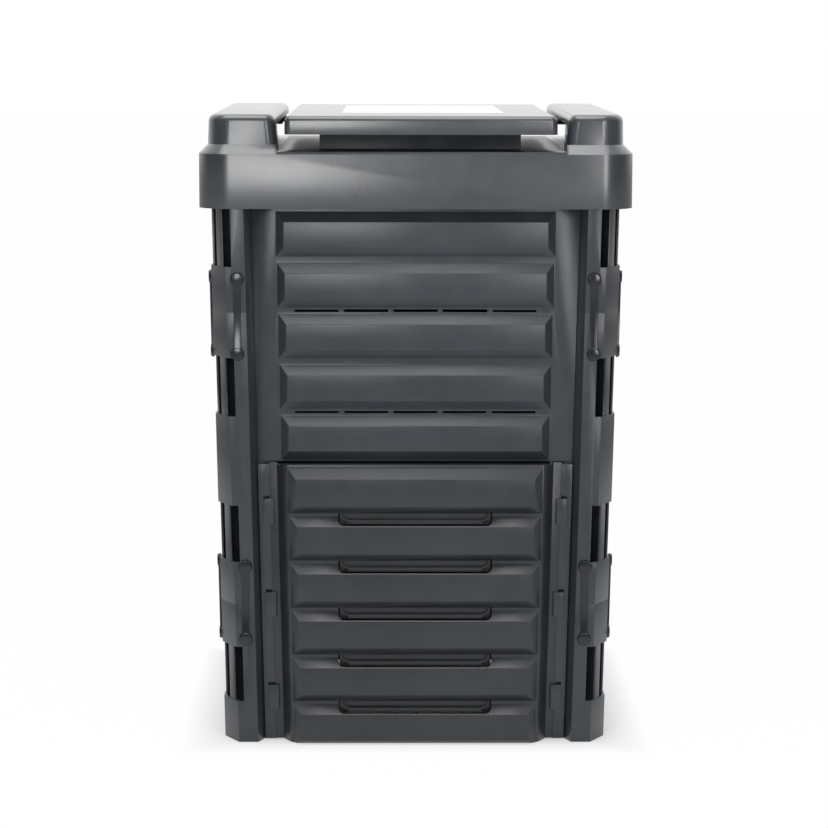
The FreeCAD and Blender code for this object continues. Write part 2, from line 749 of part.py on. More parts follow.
# The lid: a moulded skirt with a tower along each side, a deck between them, and a collared
# mouth in the deck. Two pins at the back of the bay carry the flap.

lid_half = half_width(body_height) + lid_overhang
lid_foot = body_height - lid_cover
lid_rim = lid_foot + skirt_height
tower_top = lid_rim + tower_height
tower_foot = lid_rim + shoulder_edge + shoulder
tower_outer = lid_half - shoulder
bay_half = tower_outer - tower_width
bay_left = bay_offset - bay_half
bay_right = bay_offset + bay_half
flap_half = bay_half - flap_gap
flap_left = flap_offset - flap_half
flap_right = flap_offset + flap_half
flap_front = lid_half - flap_setback
flap_top = lid_rim + flap_rise
flap_foot = flap_top - flap_depth
pin_back = flap_front - pin_setback
pin_height = flap_top - pin_drop
deck_top = lid_rim + deck_height
notch_front = notch_start - tower_outer
notch_head = pin_height + notch_above
cavity_top = lid_rim - lid_wall
lid_inside = lid_half - lid_wall


tower_outer_round = lid_round - shoulder - tower_ledge
corner_zone = tower_outer.number - lid_round.number / 2


def slope(degrees):
    return Size(math.tan(math.radians(degrees.number)), f"tan({degrees.formula})")


def tapered_box(name, low, high, foot, head):
    """A block between a rectangle at one height and a rectangle at another."""
    plans = {low.number: rectangle(*foot), high.number: rectangle(*head)}
    return leaning_block(name, lambda height: plans[height.number], low, high)


def inset(rect, left, right, ends):
    """A rectangle with its left, right and both other sides moved in."""
    x0, x1, y0, y1 = rect
    return (x0 + left, x1 - right, y0 + ends, y1 - ends)


def tower_inset(rect, side, outer, bay):
    """A tower's rectangle moved in on its outer sides and on its bay side."""
    return inset(rect, outer, bay, outer) if side < 0 else inset(rect, bay, outer, outer)


def level_with(edge, height):
    """Whether an edge lies at a height."""
    return abs(edge.BoundBox.Center.z - height.number) < 1


def tower_plans(side):
    """The foot and the head of a tower. The side is -1 for left, 1 for right."""
    outer = tower_outer - tower_ledge
    foot = (-outer, bay_left) if side < 0 else (bay_right, outer)
    foot += (-outer, outer)
    rise = tower_top - tower_foot
    return foot, tower_inset(foot, side, rise * slope(outer_draft), rise * slope(tower_draft))


def tower(name, side):
    """One tower on its shoulder."""
    foot, head = tower_plans(side)

    def outside(edge):
        return edge.BoundBox.Center.x * side > corner_zone

    wide = tower_inset(foot, side, -shoulder - tower_ledge, zero)
    hill = tapered_box(name + "_hill", lid_rim, tower_foot, wide, wide)
    hill = rounded(name + "_hill_round", hill, lid_round,
                   lambda edge: upright(edge) and outside(edge))
    bay_edge = bay_left if side < 0 else bay_right
    hill = bevelled(name + "_hill_bevel", hill, shoulder, lambda edge: (
        level_with(edge, tower_foot) and abs(edge.BoundBox.Center.x - bay_edge.number) > 1))
    stack = tapered_box(name + "_stack", tower_foot, tower_top, foot, head)
    stack = rounded(name + "_stack_outer", stack, tower_outer_round,
                    lambda edge: upright(edge) and outside(edge))
    stack = rounded(name + "_stack_inner", stack, tower_inner_round,
                    lambda edge: upright(edge) and not outside(edge))
    stack = rounded(name + "_stack_top", stack, tower_round,
                    lambda edge: level_with(edge, tower_top))
    return [hill, stack]


def tower_cavity(name, side):
    """The hollow of a tower: its front, the narrow part beside the notch, and the eave."""
    foot, head = (tower_inset(plan, side, lid_wall, lid_wall) for plan in tower_plans(side))
    split = notch_front - lid_wall
    narrow = bay_left - notch_depth - lid_wall if side < 0 else bay_right + notch_depth + lid_wall
    eave = bay_left - tower_round - lid_wall if side < 0 else bay_right + tower_round + lid_wall

    def corner(edge, outer):
        """Whether an upright edge is at an end of the lid, on the given side of the tower."""
        middle = edge.BoundBox.Center
        at_end = abs(middle.y) > corner_zone
        return upright(edge) and at_end and (middle.x * side > corner_zone) == outer

    low, high = cavity_top - lid_wall, tower_top - tower_roof
    front = tapered_box(name + "_front", low, high, foot[:3] + (split,), head[:3] + (split,))
    front = rounded(name + "_front_outer", front, tower_outer_round - lid_wall,
                    lambda edge: corner(edge, True))
    front = rounded(name + "_front_inner", front, tower_inner_round - lid_wall,
                    lambda edge: corner(edge, False))
    rear_plans = []
    for plan in (foot, head):
        ends = (plan[0], narrow) if side < 0 else (narrow, plan[1])
        rear_plans.append(ends + (split, plan[3]))
    rear = tapered_box(name + "_rear", low, high, *rear_plans)
    rear = rounded(name + "_rear_outer", rear, tower_outer_round - lid_wall,
                   lambda edge: corner(edge, True))
    x0, x1 = (narrow - lid_wall, eave) if side < 0 else (eave, narrow + lid_wall)
    under_eave = box(name + "_eave", x0, x1, split, foot[3] - tower_inner_round,
                     notch_head + lid_wall, high)
    return [front, rear, under_eave]


def lid_frame():
    name = "lid_frame"
    skirt = tapered_box(name + "_skirt_block", lid_foot, lid_rim,
                        (-lid_half, lid_half, -lid_half, lid_half),
                        (-lid_half, lid_half, -lid_half, lid_half))
    skirt = rounded(name + "_skirt", skirt, lid_round, upright)
    hollow = tapered_box(name + "_hollow_block", lid_foot - lid_wall, cavity_top,
                         (-lid_inside, lid_inside, -lid_inside, lid_inside),
                         (-lid_inside, lid_inside, -lid_inside, lid_inside))
    hollow = rounded(name + "_hollow", hollow, lid_round - lid_wall, upright)
    deck_half = lid_half - deck_inset
    deck = box(name + "_deck", bay_left - notch_depth, bay_right + notch_depth,
               -deck_half, deck_half, cavity_top, deck_top)
    towers = tower(name + "_left", -1) + tower(name + "_right", 1)
    cavities = tower_cavity(name + "_left_cavity", -1) + tower_cavity(name + "_right_cavity", 1)
    mouth = (flap_left + mouth_side, flap_right - mouth_side,
             mouth_front - flap_front, flap_front - mouth_front)
    x0, x1, y0, y1 = inset(mouth, -lid_wall, -lid_wall, -lid_wall)
    collar = box(name + "_collar", x0, x1, y0, y1, lid_rim, flap_top - flap_wall - collar_gap)
    x0, x1, y0, y1 = mouth
    opening = box(name + "_mouth", x0, x1, y0, y1, lid_foot, tower_top)
    notches = [
        box(name + "_left_notch", bay_left - notch_depth, bay_left + shoulder,
            notch_front, lid_half + lid_wall, deck_top, notch_head),
        box(name + "_right_notch", bay_right - shoulder, bay_right + notch_depth,
            notch_front, lid_half + lid_wall, deck_top, notch_head),
    ]
    shell = cut(name + "_shell", fused(name + "_solid", [skirt, deck, collar] + towers),
                [hollow, opening] + cavities + notches)
    seats = []
    spread = lid_half / 2
    inner_end = lid_inside - seat_reach
    for i, middle in enumerate((-spread, spread)):
        for end in (-1, 1):
            y0, y1 = (inner_end, lid_inside) if end > 0 else (-lid_inside, -inner_end)
            word = f"{i}{'a' if end < 0 else 'b'}"
            seats.append(box(f"{name}_seat_y{word}", middle, middle + seat_rib, y0, y1,
                             body_height, cavity_top))
            seats.append(box(f"{name}_seat_x{word}", y0, y1, middle, middle + seat_rib,
                             body_height, cavity_top))
    return fused(name, [shell] + seats)


parts["lid_frame"] = lid_frame()


def rod(name, radius, x0, x1):
    """A round bar along X on the hinge axis."""
    bar = doc.addObject("Part::Cylinder", name)
    bind(bar, "Radius", radius)
    bind(bar, "Height", as_size(x1) - x0)
    bar.Placement = FreeCAD.Placement(
        FreeCAD.Vector(), FreeCAD.Rotation(FreeCAD.Vector(0, 1, 0), 90))
    bind(bar, "Placement.Base.x", x0)
    bind(bar, "Placement.Base.y", pin_back)
    bind(bar, "Placement.Base.z", pin_height)
    return bar


left_root = bay_left - notch_depth
right_root = bay_right + notch_depth
pin_ends = {
    "left": (left_root, left_root + boss_length, left_root, flap_left + flap_wall + pin_inside),
    "right": (right_root - boss_length, right_root,
              flap_right - flap_wall - pin_inside, right_root),
}
for side, (boss0, boss1, pin0, pin1) in pin_ends.items():
    name = f"flap_hinge_pin_{side}"
    parts[name] = fused(name, [rod(name + "_boss", boss_radius, boss0, boss1),
                               rod(name + "_pin", pin_radius, pin0, pin1)])


def lid_flap():
    name = "lid_flap"
    plan = (flap_left, flap_right, -flap_front, flap_front)
    block = tapered_box(name + "_block", flap_foot, flap_top, plan, plan)
    block = rounded(name + "_corners", block, flap_round, upright)
    block = rounded(name + "_edges", block, flap_round - flap_wall / 2,
                    lambda edge: level_with(edge, flap_top))
    within = inset(plan, flap_wall, flap_wall, flap_wall)
    hollow = tapered_box(name + "_hollow", flap_foot - flap_wall, flap_top - flap_wall,
                         within, within)
    hole = rod(name + "_hole", pin_radius + pin_gap, flap_left - flap_wall, flap_right + flap_wall)
    return cut(name, block, [hollow, hole])


parts["lid_flap"] = lid_flap()
parts["flap_label"] = box(
    "flap_label", label_shift_x - label_wide / 2, label_shift_x + label_wide / 2,
    label_shift_y - label_long / 2, label_shift_y + label_long / 2,
    flap_top, flap_top + label_thickness)

doc.recompute()
for thing in doc.Objects:
    if "Invalid" in thing.State or "Error" in thing.State:
        raise RuntimeError(f"{thing.Name} did not build: {thing.State}")
os.makedirs("parts", exist_ok=True)
for name, thing in parts.items():
    shape = thing.Shape
    if shape.isNull() or not shape.isValid():
        raise RuntimeError(f"{name} has no valid shape")
    thing.Label = name
    shape.exportStep(f"parts/{name}.step")
    b = shape.BoundBox
    print(name, len(shape.Solids), round(shape.Volume), [round(v, 1) for v in
          (b.XMin, b.XMax, b.YMin, b.YMax, b.ZMin, b.ZMax)])
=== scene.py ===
# %% [markdown]
# # A compost bin of moulded black plastic
#
# The bin is an upright square box of ribbed wall panels. Dog-bone clips hold its corners
# together, a hatch door slides up in the lower front, and the lid has a flap between two
# towers. The CAD model has every piece at its true size, but with sharp edges and with its
# seams a few millimetres off. So this notebook moves those levels, rounds the edges as a
# mould does, gives each plastic its finish, and lights the bin softly. Blender works in
# metres. The measures of the pieces are in millimetres until they are multiplied by `MM`,
# and those of the camera, the lamps, the floor and the shaders are in metres.

# %% Load the frame
import json
import math

import bmesh
import bpy
from mathutils import Matrix, Vector


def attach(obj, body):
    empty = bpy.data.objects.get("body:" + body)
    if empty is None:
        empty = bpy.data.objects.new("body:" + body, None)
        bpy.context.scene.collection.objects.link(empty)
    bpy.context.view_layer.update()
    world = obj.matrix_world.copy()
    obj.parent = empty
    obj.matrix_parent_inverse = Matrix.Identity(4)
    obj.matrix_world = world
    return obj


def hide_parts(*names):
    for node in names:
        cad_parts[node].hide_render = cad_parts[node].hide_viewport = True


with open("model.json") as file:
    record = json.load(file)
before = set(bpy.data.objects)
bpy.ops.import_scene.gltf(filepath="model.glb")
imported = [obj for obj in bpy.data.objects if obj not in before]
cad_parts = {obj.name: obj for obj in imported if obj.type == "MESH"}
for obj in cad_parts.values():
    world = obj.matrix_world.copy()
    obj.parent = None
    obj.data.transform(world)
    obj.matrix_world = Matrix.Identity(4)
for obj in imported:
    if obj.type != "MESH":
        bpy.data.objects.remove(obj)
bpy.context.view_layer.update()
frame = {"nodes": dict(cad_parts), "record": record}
nodes = frame["nodes"]
scene = bpy.context.scene
scene.view_settings.view_transform = "Standard"
MM = 0.001

# %% [markdown]
# ## Camera
#
# The photo was taken from a little above the lid, about four metres away, with a long lens.
# A long lens keeps the upright edges nearly parallel, so the distance matters as much as the
# direction. The values below are the place of that camera and how far it is turned.

# %% Set the camera
CAMERA_PLACE = Vector((-0.0398, -4.1999, 1.0234))
CAMERA_DOWN = math.radians(7.917)
CAMERA_YAW = math.radians(-0.551)
CAMERA_ROLL = math.radians(-0.118)
PHOTO_WIDTH = 828
FOCAL_PIXELS = 2791.8

camera_data = bpy.data.cameras.new("photo_camera")
camera_data.sensor_width = 36
camera_data.lens = FOCAL_PIXELS / PHOTO_WIDTH * camera_data.sensor_width
camera_data.clip_end = 100
camera = bpy.data.objects.new("photo_camera", camera_data)
scene.collection.objects.link(camera)
level_view = Matrix.Rotation(math.radians(90), 4, "X")
camera.matrix_world = (
    Matrix.Translation(CAMERA_PLACE)
    @ Matrix.Rotation(CAMERA_YAW, 4, "Z")
    @ Matrix.Rotation(-CAMERA_DOWN, 4, "X")
    @ Matrix.Rotation(CAMERA_ROLL, 4, "Y")
    @ level_view
)
scene.camera = camera
print("lens:", round(camera_data.lens, 2), "mm")

# %% [markdown]
# ## Shader maths
#
# Node trees are easier to read as sums. This small class wraps a node's output, so that
# `1 - mask * 0.5` adds the Math nodes that work it out.


# %% Wrap a node socket
class Socket:
    """An output socket that can be used in sums."""

    def __init__(self, tree, socket):
        self.tree = tree
        self.socket = socket

    def sum(self, operation, first, second):
        """Adds one Math node."""
        node = self.tree.nodes.new("ShaderNodeMath")
        node.operation = operation
        for place, value in zip(node.inputs, (first, second)):
            if isinstance(value, Socket):
                self.tree.links.new(value.socket, place)
            else:
                place.default_value = value
        return Socket(self.tree, node.outputs[0])

    def __add__(self, other):
        return self.sum("ADD", self, other)

    def __radd__(self, other):
        return self.sum("ADD", other, self)

    def __sub__(self, other):
        return self.sum("SUBTRACT", self, other)

    def __rsub__(self, other):
        return self.sum("SUBTRACT", other, self)

    def __mul__(self, other):
        return self.sum("MULTIPLY", self, other)

    def __rmul__(self, other):
        return self.sum("MULTIPLY", other, self)

    def __lt__(self, other):
        return self.sum("LESS_THAN", self, other)

    def __gt__(self, other):
        return self.sum("GREATER_THAN", self, other)

    def __abs__(self):
        return self.sum("ABSOLUTE", self, 0)

    def or_higher(self, other):
        """The larger of the two values."""
        return self.sum("MAXIMUM", self, other)


print("a Socket adds, subtracts, multiplies and compares")

# %% [markdown]
# A finish is built by adding nodes to a tree, one at a time, each with what goes into its
# sockets. The nodes could be linked one by one in the shader editor, but in a script a few
# methods keep each node on one line, and they serve the materials and the world alike.


# %% Wrap a node tree
class NodeTree:
    """A node tree that gets its nodes from one method."""

    def __init__(self, tree):
        self.tree = tree

    def node(self, kind, output=0, **sockets):
        """Adds a node, fills its sockets and gives one output, by name or place."""
        node = self.tree.nodes.new(kind)
        for key, value in sockets.items():
            place = node.inputs[key.replace("_", " ")]
            if isinstance(value, Socket):
                self.tree.links.new(value.socket, place)
            else:
                place.default_value = value
        return Socket(self.tree, node.outputs[output])

    def ramp(self, factor, stops):
        """A colour ramp: each stop is a position and a colour."""
        node = self.tree.nodes.new("ShaderNodeValToRGB")
        elements = node.color_ramp.elements
        while len(elements) < len(stops):
            elements.new(0.5)
        for element, (position, colour) in zip(elements, stops):
            element.position = position
            element.color = (*colour, 1)
        self.tree.links.new(factor.socket, node.inputs["Fac"])
        return Socket(self.tree, node.outputs["Color"])


class Finish(NodeTree):
    """A material and its node tree."""

    def __init__(self, name):
        self.material = bpy.data.materials.new(name)
        self.material.use_nodes = True
        super().__init__(self.material.node_tree)
        self.shader = self.tree.nodes["Principled BSDF"]

    def feed(self, socket, value):
        """Links or sets a socket of the shader."""
        place = self.shader.inputs[socket]
        if isinstance(value, Socket):
            self.tree.links.new(value.socket, place)
        else:
            place.default_value = value


print("a Finish has a material and feeds its shader")

# %% [markdown]
# ## The moulded plastic
#
# All the black pieces are injection moulded polypropylene. It isn't one flat black: it has a
# fine grain from the mould, and faint cloudy patches where the melt cooled at different
# rates. A picture could carry both, but noise needs no unwrapping and has no end. The lid is
# smoother than the walls. One recipe makes them all, and only its numbers change.

# %% Make the plastics
CLOUD_SHARE, BLOTCH_SHARE, SPECK_SHARE = 0.65, 0.27, 0.08
BLOTCH_ROUGHNESS, SPECK_ROUGHNESS = 0.12, 0.03
WAVE_DEPTH, GRAIN_DEPTH = 0.002, 0.00025


def moulded_plastic(name, dark, light, roughness, grain, waviness):
    """Dark and light are the ends of the cloudy colour; grain and waviness set the bump."""
    finish = Finish(name)
    place = finish.node("ShaderNodeTexCoord", output="Object")
    clouds = finish.node("ShaderNodeTexNoise", Vector=place, Scale=5.0, Detail=4.0, Roughness=0.6)
    blotches = finish.node("ShaderNodeTexNoise", Vector=place, Scale=34.0, Detail=3.0)
    specks = finish.node("ShaderNodeTexNoise", Vector=place, Scale=260.0, Detail=2.0)
    tone = clouds * CLOUD_SHARE + blotches * BLOTCH_SHARE + specks * SPECK_SHARE
    finish.feed("Base Color", finish.ramp(tone, [(0.36, dark), (0.64, light)]))
    blotched = roughness + (blotches - 0.5) * BLOTCH_ROUGHNESS
    finish.feed("Roughness", blotched + (specks - 0.5) * SPECK_ROUGHNESS)
    fine = finish.node("ShaderNodeTexNoise", Vector=place, Scale=900.0, Detail=1.0)
    slow = finish.node("ShaderNodeTexNoise", Vector=place, Scale=16.0, Detail=2.0)
    wave = finish.node("ShaderNodeBump", Strength=waviness, Distance=WAVE_DEPTH, Height=slow)
    skin = finish.node(
        "ShaderNodeBump", Strength=grain, Distance=GRAIN_DEPTH, Height=fine, Normal=wave)
    finish.feed("Normal", skin)
    return finish


wall_plastic = moulded_plastic(
    "wall_plastic", (0.020, 0.024, 0.030), (0.032, 0.038, 0.046), 0.31, 0.35, 0.12)
door_plastic = moulded_plastic(
    "door_plastic", (0.016, 0.018, 0.021), (0.026, 0.029, 0.033), 0.34, 0.35, 0.10)
clip_plastic = moulded_plastic(
    "clip_plastic", (0.006, 0.007, 0.008), (0.011, 0.012, 0.014), 0.2, 0.2, 0.05)
lid_plastic = moulded_plastic(
    "lid_plastic", (0.020, 0.024, 0.028), (0.033, 0.038, 0.044), 0.30, 0.05, 0.10)
pin_plastic = moulded_plastic(
    "pin_plastic", (0.012, 0.012, 0.013), (0.020, 0.020, 0.021), 0.40, 0.3, 0.05)
print("plastics made: wall, door, clip, lid, pin")

# %% [markdown]
# The lid shines more than the walls, so it gets a clear coat over its plastic. The floor of
# its bay, between the towers and under the flap, is left without the coat, so it stays dull
# and dark: the missing sheen is painted shade, standing in for the shade that the flap casts
# there. That floor could have a material of its own, but then its faces would have to be
# picked out. A mask worked out from the place on the lid leaves the mesh alone.

# %% Coat the lid
BAY_MIDDLE = 0.008
BAY_HALF = 0.205
BAY_FOOT, BAY_HEAD = 0.8465, 0.8725
COAT_WEIGHT = 0.9

lid_place = lid_plastic.node("ShaderNodeTexCoord", output="Object")
lid_across = lid_plastic.node("ShaderNodeSeparateXYZ", output="X", Vector=lid_place)
lid_level = lid_plastic.node("ShaderNodeSeparateXYZ", output="Z", Vector=lid_place)
between_towers = abs(lid_across - BAY_MIDDLE) < BAY_HALF
# The coat is left off the bay as painted shade, for the shade under the flap.
shaded_bay = between_towers * (lid_level > BAY_FOOT) * (lid_level < BAY_HEAD)
lid_plastic.feed("Coat Weight", (1 - shaded_bay) * COAT_WEIGHT)
lid_plastic.feed("Coat Roughness", 0.26)
print("lid coat:", COAT_WEIGHT, "outside the bay")

# %% [markdown]
# The label on the flap is a blank white film. It is nearly even in colour, with a soft sheen.
# One flat white would do from afar, but a slight mottle keeps it from looking cut out.

# %% Make the label film
label_film = Finish("label_film")
label_place = label_film.node("ShaderNodeTexCoord", output="Object")
label_mottle = label_film.node("ShaderNodeTexNoise", Vector=label_place, Scale=9.0, Detail=3.0)
label_film.feed(
    "Base Color",
    label_film.ramp(label_mottle, [(0.3, (0.80, 0.80, 0.79)), (0.7, (0.86, 0.86, 0.85))]))
label_film.feed("Roughness", 0.35)
print("film made:", label_film.material.name)

# %% [markdown]
# ## Where the seams and ribs sit
#
# On the real bin the tiers aren't exactly equal: the middle seam lies a little low, and the
# ribs have narrower faces than the plain model. Each list below pairs a level of the model
# with the level that was measured from the photo. A level between two pairs is moved in
# proportion, so the pieces still meet at their seams. The walls follow one list, because
# their seams and corner slots are what shows of them from the front.

# %% List the levels of the walls and panels
WALL_LEVELS = [
    (0, 0), (62, 60.6), (143, 140.7), (206, 203), (268, 264.7), (352, 346.7), (412, 407),
    (477.5, 475), (563, 558.5), (618, 623), (692, 687.5), (800, 800), (824, 824),
]
UPPER_PANEL_LEVELS = [
    (411.9, 406.9), (414.4, 410.3), (426.4, 423.5), (464.4, 459.9), (476.9, 473.6),
    (479.1, 476.7), (484.1, 479.7), (486.4, 482.8), (498.4, 496.1), (536.4, 532.5),
    (548.9, 546.2), (558.4, 555.4), (570.3, 568.6), (608.3, 605.0), (620.9, 618.8),
    (623.1, 621.9), (628.1, 624.9), (630.4, 628.0), (642.3, 641.2), (680.3, 677.6),
    (692.8, 691.4), (702.3, 700.6), (714.3, 713.8), (752.3, 750.2), (764.8, 764.0),
    (823.9, 823.9),
]
LOWER_PANEL_LEVELS = [
    (0.5, 0.5), (2.5, 3.3), (14.5, 16.6), (52.5, 53.0), (65.0, 66.7), (74.5, 75.9),
    (86.5, 89.2), (124.4, 125.5), (137.0, 139.3), (146.5, 148.5), (158.4, 161.7),
    (196.4, 198.1), (209.0, 211.9), (211.2, 215.0), (216.2, 218.0), (218.5, 221.1),
    (230.4, 234.3), (268.4, 270.7), (280.9, 284.5), (290.4, 293.7), (302.4, 306.9),
    (340.4, 343.3), (352.9, 357.1), (411.9, 406.9),
]
FRAME_LEVELS = [(0, 0), (360.1, 360.1), (391.9, 386.9), (411.9, 406.9)]
print("panel levels:", len(UPPER_PANEL_LEVELS), "upper,", len(LOWER_PANEL_LEVELS), "lower")

# %% [markdown]
# The door repeats one rib six times, so its list is worked out from the top rib: its foot,
# the head of the grip under it, the two edges of its face, and its top. Each rib further down
# repeats them one spacing lower, and the lowest one leaves out what would be below the foot.

# %% List the levels of the door
DOOR_RIBS = 6
MODEL_PITCH, SEEN_PITCH = 68.5, 68.67
RIB_LEVELS = [
    (339.1, 336.7), (343.0, 337.3), (352.3, 349.93), (390.3, 388.1), (403.5, 401.3),
]
DOOR_LEVELS = [(0, 0), (3, 3)]
for rib in reversed(range(DOOR_RIBS)):
    for model_level, seen_level in RIB_LEVELS:
        pair = (model_level - MODEL_PITCH * rib, seen_level - SEEN_PITCH * rib)
        if pair[0] > DOOR_LEVELS[-1][0]:
            DOOR_LEVELS.append(pair)
DOOR_LEVELS.append((411, 406.5))
LEVELS = {
    "wall": WALL_LEVELS,
    "upper_panel": UPPER_PANEL_LEVELS,
    "lower_panel": LOWER_PANEL_LEVELS,
    "door_frame": FRAME_LEVELS,
    "front_door": DOOR_LEVELS,
}
print("door levels:", [(round(a, 1), round(b, 1)) for a, b in DOOR_LEVELS])

# %% [markdown]
# Upright edges are moved in the same way, by how far in they lie from the side of the body.
# The body leans in towards its foot, so that side is worked out at each level. The flat
# flanges get a little wider, and the door and its ribs reach a little further out. Scaling a
# piece would move all of it, but a list moves only the edges that need it.

# %% Move levels and insets
FOOT_HALF = 275
FLARE = 17.5
BODY_HEIGHT = 824
FACE_DEPTH = 30
FLANGE_INSETS = [(0, 0), (22, 22), (47, 49.5), (59, 59), (400, 400)]
DOOR_INSETS = [(0, 0), (86, 84.5), (100, 98), (106, 101.3), (119, 114.5), (400, 400)]


def half_width(level):
    """Half the width of the flaring body at a level."""
    return FOOT_HALF + FLARE * level / BODY_HEIGHT


def moved(value, pairs):
    """The value that pairs give for a level, in proportion between two of them."""
    for (low, new_low), (high, new_high) in zip(pairs, pairs[1:]):
        if value <= high:
            break
    share = (value - low) / (high - low)
    return new_low + share * (new_high - new_low)


def fit_levels(piece, pairs):
    """Moves every level of a piece as the pairs say."""
    for vertex in piece.data.vertices:
        vertex.co.z = moved(vertex.co.z / MM, pairs) * MM


def fit_insets(piece, pairs):
    """Moves upright edges of the front and back, measured in from the leaning side."""
    for vertex in piece.data.vertices:
        x, y, z = vertex.co
        half = half_width(z / MM) * MM
        if abs(y) > half - FACE_DEPTH * MM:
            inset = max((half - abs(x)) / MM, 0)
            vertex.co.x = math.copysign(half - moved(inset, pairs) * MM, x)


print("half width:", half_width(0), "at the foot,", half_width(BODY_HEIGHT), "at the top")

# %% [markdown]
# ## Rounded edges
#
# A mould has no sharp edges: each is rounded by about a millimetre, and that thin curve
# catches the light as a bright line. The CAD pieces are sharp, and they come as triangles
# that share no corners. So each gets a copy whose corners are merged and whose flat faces
# are joined, because a bevel needs whole faces on both sides of an edge.

# %% Copy a node with whole faces
FLAT = math.radians(0.5)


def only_active(piece):
    """Selects a piece alone and makes it active."""
    bpy.ops.object.select_all(action="DESELECT")
    bpy.context.view_layer.objects.active = piece
    piece.select_set(True)


def merged_copy(node_name, weld):
    """A copy of a CAD node with its triangles merged into whole faces."""
    source = nodes[node_name]
    piece = source.copy()
    piece.data = source.data.copy()
    piece.name = node_name + "_moulded"
    scene.collection.objects.link(piece)
    only_active(piece)
    piece.modifiers.clear()
    bpy.ops.object.mode_set(mode="EDIT")
    bpy.ops.mesh.select_all(action="SELECT")
    bpy.ops.mesh.remove_doubles(threshold=weld)
    bpy.ops.mesh.dissolve_limited(angle_limit=FLAT)
    bpy.ops.object.mode_set(mode="OBJECT")
    return piece


print("faces that turn by less than", round(math.degrees(FLAT), 1), "degrees are joined")

# %% [markdown]
# Edges could be rounded in the CAD model too, but a Bevel modifier is quick, and at a small
# edge it gives way instead of failing. One modifier can give edges different radii: each edge
# carries a bevel weight, its share of the widest radius, so the lid's rim can be rounded
# broadly while its small ribs stay crisp. Only edges that turn by more than `SHARP` are
# bevelled.

# %% Round the edges of a copy
SHARP = math.radians(25)
SMOOTH_BELOW = math.radians(40)


def round_edges(piece, radius, broad=None, segments=2):
    """Bevels the sharp edges; broad(middle of an edge) may give each its own radius."""
    work = bmesh.new()
    work.from_mesh(piece.data)
    weights = work.edges.layers.float.new("bevel_weight_edge")
    widest = radius
    radii = {}
    for edge in work.edges:
        if len(edge.link_faces) != 2 or edge.calc_face_angle(0) < SHARP:
            continue
        middle = (edge.verts[0].co + edge.verts[1].co) / 2
        radii[edge] = broad(middle) if broad else radius
        widest = max(widest, radii[edge])
    for edge, own in radii.items():
        edge[weights] = own / widest
    work.to_mesh(piece.data)
    work.free()
    bevel = piece.modifiers.new("mould_radius", "BEVEL")
    bevel.width = widest
    bevel.segments = segments
    bevel.limit_method = "WEIGHT"
    bevel.use_clamp_overlap = True
    bpy.ops.object.modifier_apply(modifier=bevel.name)
    bpy.ops.object.shade_smooth_by_angle(angle=SMOOTH_BELOW)


print("edges that turn by more than", round(math.degrees(SHARP)), "degrees are rounded")

# %% [markdown]
# A finished copy takes the place of its CAD node. The record of the CAD model says so for
# every node, so nothing is typed twice.

# %% Let a copy stand for its node
finishes = {
    "wall_plastic": wall_plastic,
    "door_plastic": door_plastic,
    "clip_plastic": clip_plastic,
    "lid_plastic": lid_plastic,
    "pin_plastic": pin_plastic,
    "label_film": label_film,
}
slot_of = {row["node"]: row["material_slot"] for row in frame["record"]["subparts"]}
body_of = {}
for body, members in frame["record"]["behaviour"]["bodies"].items():
    for member in members:
        body_of[member] = body


def stand_in(piece, node_name):
    """Lets a finished copy stand for its node."""
    piece.data.materials.clear()
    piece.data.materials.append(finishes[slot_of[node_name]].material)
    piece.parent = None
    piece.matrix_world = Matrix()
    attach(piece, body_of[node_name])
    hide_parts(node_name)
    print(node_name, "faces:", len(piece.data.polygons))


print("finishes:", sorted(finishes))

# %% [markdown]
# All the pieces but the lid and the label go through the same steps: copy, move, round. The
# radius is chosen by the kind of piece, because a broad panel is moulded with softer edges
# than a hinge pin. The label is right as it is and only gets its film.

# %% Mould the pieces
MERGE = 0.02 * MM
EDGE_RADIUS = {
    "wall": 1.1 * MM,
    "panel": 1.3 * MM,
    "frame": 0.8 * MM,
    "door": 1.5 * MM,
    "clips": 1.0 * MM,
    "flap": 0.9 * MM,
    "pin": 0.6 * MM,
}
moulded = {}
for node_name in sorted(nodes):
    if node_name in ("flap_label", "lid_frame"):
        continue
    piece = merged_copy(node_name, MERGE)
    for word, pairs in LEVELS.items():
        if word in node_name:
            fit_levels(piece, pairs)
    if "wall" in node_name:
        fit_insets(piece, FLANGE_INSETS)
    if node_name == "front_door":
        fit_insets(piece, DOOR_INSETS)
    kind = next(word for word in EDGE_RADIUS if word in node_name)
    round_edges(piece, EDGE_RADIUS[kind])
    stand_in(piece, node_name)
    moulded[node_name] = piece
nodes["flap_label"].data.materials.clear()
nodes["flap_label"].data.materials.append(label_film.material)
print("moulded:", len(moulded), "pieces")

# %% [markdown]
# ## Finger grips
#
# Each grip of the door looks like a shallow pocket for the fingers. An apron closes it at
# the back, and a thin lip stands up along its sill and round its lower corners. The lip is a
# bead, a curve with a round section, and the wall under it is a slim box. The pocket could
# be cut out of the door and its edge rounded, but a bead laid along a line turns the corners
# smoothly whatever mesh lies behind it.

# %% Make the parts of a grip
GRIP_HALF = 105.0
GRIP_CORNER = 10.0
GRIP_HEAD = 17
LIP_RISE = 4.0
BEAD_RADIUS = 1.1
BEAD_OUT = 5.2
BEAD_STEP = 15


def slim_box(name, low, high, edge=0.4):
    """A box between two corners, with slightly rounded edges."""
    bpy.ops.mesh.primitive_cube_add(size=1)
    box = bpy.context.active_object
    box.name = name
    for vertex in box.data.vertices:
        vertex.co = Vector(
            (high[i] if vertex.co[i] > 0 else low[i]) * MM for i in range(3))
    bevel = box.modifiers.new("edge", "BEVEL")
    bevel.width = edge * MM
    bevel.segments = 2
    bpy.ops.object.modifier_apply(modifier=bevel.name)
    box.data.materials.append(door_plastic.material)
    return box


